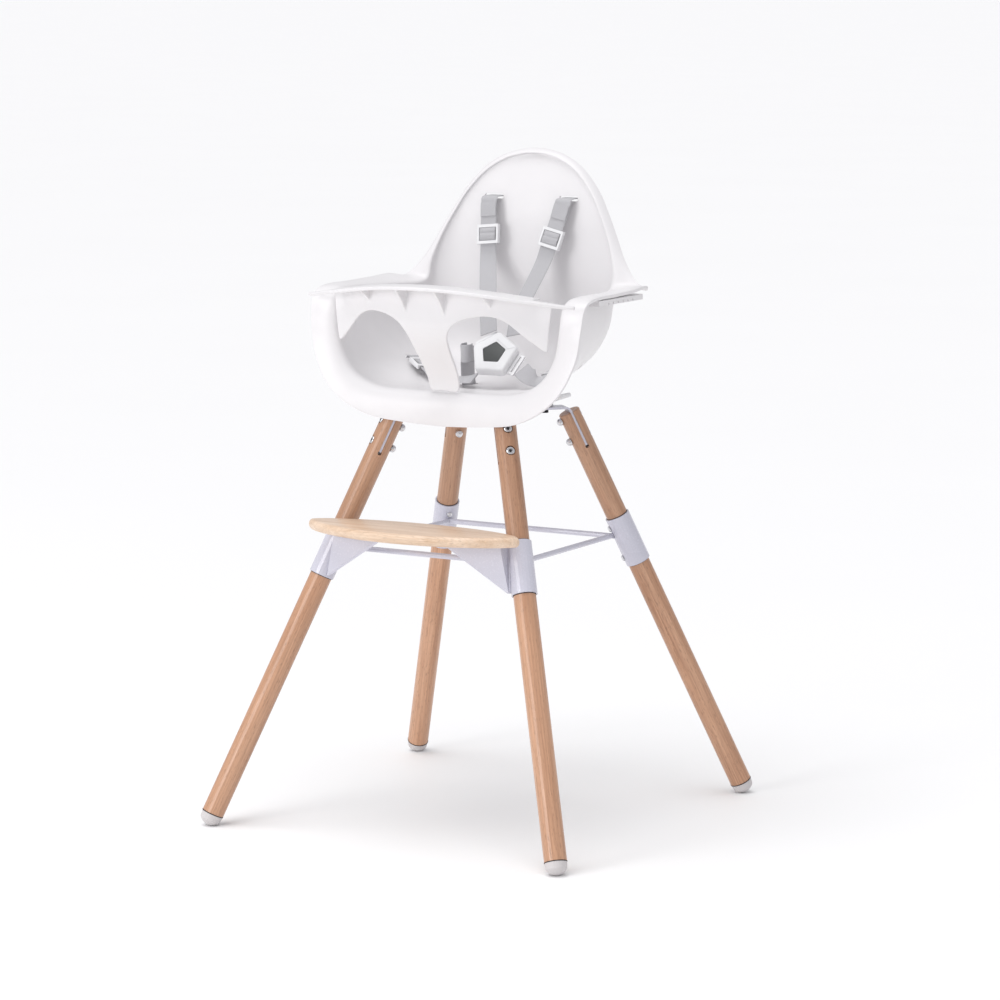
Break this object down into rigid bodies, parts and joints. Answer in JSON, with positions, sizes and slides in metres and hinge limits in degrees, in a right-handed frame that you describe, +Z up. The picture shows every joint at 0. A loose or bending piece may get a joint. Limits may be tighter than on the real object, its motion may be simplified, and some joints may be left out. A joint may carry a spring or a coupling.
{
  "type": "baby high chair",
  "caption": "Baby high chair with a moulded bucket seat, clip-in front bumper, five-point harness and footrest on splayed two-part wooden legs.",
  "frame": {"origin": "on the floor, in the middle of the footprint of the four feet", "axes": "+Z up, the chair faces -Y, +X is the right-hand side of someone who looks at its front"},
  "size_m": [0.565, 0.565, 0.904],
  "materials": {
    "shell_white": "satin moulded polypropylene",
    "wood": "clear-lacquered beech",
    "wood_light": "clear-lacquered beech",
    "steel_white": "gloss white powder coat",
    "foot_white": "matte",
    "zinc": "bright zinc plate",
    "black_steel": "blackened",
    "webbing": "woven polyester",
    "clip_white": "satin",
    "button_grey": "matte"
  },
  "bodies": {
    "chair": {"base_bolt_back_left": "black_steel", "base_bolt_back_right": "black_steel", "base_bolt_front_left": "black_steel", "base_bolt_front_right": "black_steel", "buckle_body": "clip_white", "buckle_tongue_left": "clip_white", "buckle_tongue_right": "clip_white", "collar_back_left": "steel_white", "collar_back_right": "steel_white", "collar_bolt_back_left_lower": "zinc", "collar_bolt_back_left_upper": "zinc", "collar_bolt_back_right_lower": "zinc", "collar_bolt_back_right_upper": "zinc", "collar_front_left": "steel_white", "collar_front_right": "steel_white", "crotch_strap": "webbing", "foot_back_left": "foot_white", "foot_back_right": "foot_white", "foot_front_left": "foot_white", "foot_front_right": "foot_white", "footrest_board": "wood_light", "footrest_bracket_left": "steel_white", "footrest_bracket_right": "steel_white", "frame_plate": "steel_white", "leg_bolt_back_left_lower": "zinc", "leg_bolt_back_left_upper": "zinc", "leg_bolt_back_right_lower": "zinc", "leg_bolt_back_right_upper": "zinc", "leg_bolt_front_left_lower": "zinc", "leg_bolt_front_left_upper": "zinc", "leg_bolt_front_right_lower": "zinc", "leg_bolt_front_right_upper": "zinc", "lower_leg_back_left": "wood", "lower_leg_back_right": "wood", "lower_leg_front_left": "wood", "lower_leg_front_right": "wood", "ring_rod_back": "steel_white", "ring_rod_front": "steel_white", "ring_rod_left": "steel_white", "ring_rod_right": "steel_white", "seat_base": "shell_white", "seat_shell": "shell_white", "shoulder_strap_left": "webbing", "shoulder_strap_right": "webbing", "tray_rail_left": "shell_white", "tray_rail_right": "shell_white", "upper_leg_back_left": "wood", "upper_leg_back_right": "wood", "upper_leg_front_left": "wood", "upper_leg_front_right": "wood", "waist_strap_left": "webbing", "waist_strap_right": "webbing"},
    "front_bumper": {"front_bumper": "shell_white"},
    "buckle_button": {"buckle_button": "button_grey"},
    "release_lever_left": {"release_lever_left": "clip_white"},
    "release_lever_right": {"release_lever_right": "clip_white"},
    "shoulder_adjuster_left": {"shoulder_adjuster_left": "clip_white"},
    "shoulder_adjuster_right": {"shoulder_adjuster_right": "clip_white"},
    "waist_adjuster_left": {"waist_adjuster_left": "clip_white"},
    "waist_adjuster_right": {"waist_adjuster_right": "clip_white"}
  },
  "joints": [
    {"name": "bumper_pull", "type": "slide", "parent": "chair", "child": "front_bumper", "axis": [0, -1, 0], "range_m": [0, 0.15]},
    {"name": "button_press", "type": "slide", "parent": "chair", "child": "buckle_button", "axis": [-0.096, 0.7821, -0.6157], "range_m": [0, 0.003], "stiffness_N_per_m": 900},
    {"name": "lever_press_left", "type": "hinge", "parent": "chair", "child": "release_lever_left", "pos_m": [-0.063, 0.063, 0.5635], "axis": [0, -1, 0], "range_deg": [0, 15], "stiffness_Nm_per_rad": 1.2},
    {"name": "lever_press_right", "type": "hinge", "parent": "chair", "child": "release_lever_right", "pos_m": [0.063, 0.063, 0.5635], "axis": [0, 1, 0], "range_deg": [0, 15], "stiffness_Nm_per_rad": 1.2},
    {"name": "shoulder_slide_left", "type": "slide", "parent": "chair", "child": "shoulder_adjuster_left", "axis": [-0.0929, 0.1859, 0.9782], "range_m": [-0.012, 0.012]},
    {"name": "waist_slide_left", "type": "slide", "parent": "chair", "child": "waist_adjuster_left", "axis": [0.8089, -0.5007, -0.3081], "range_m": [0, 0.01]},
    {"name": "shoulder_slide_right", "type": "slide", "parent": "chair", "child": "shoulder_adjuster_right", "axis": [0.2255, 0.2583, 0.9394], "range_m": [-0.012, 0.012]},
    {"name": "waist_slide_right", "type": "slide", "parent": "chair", "child": "waist_adjuster_right", "axis": [-0.5448, -0.7991, -0.2543], "range_m": [0, 0.01]}
  ]
}
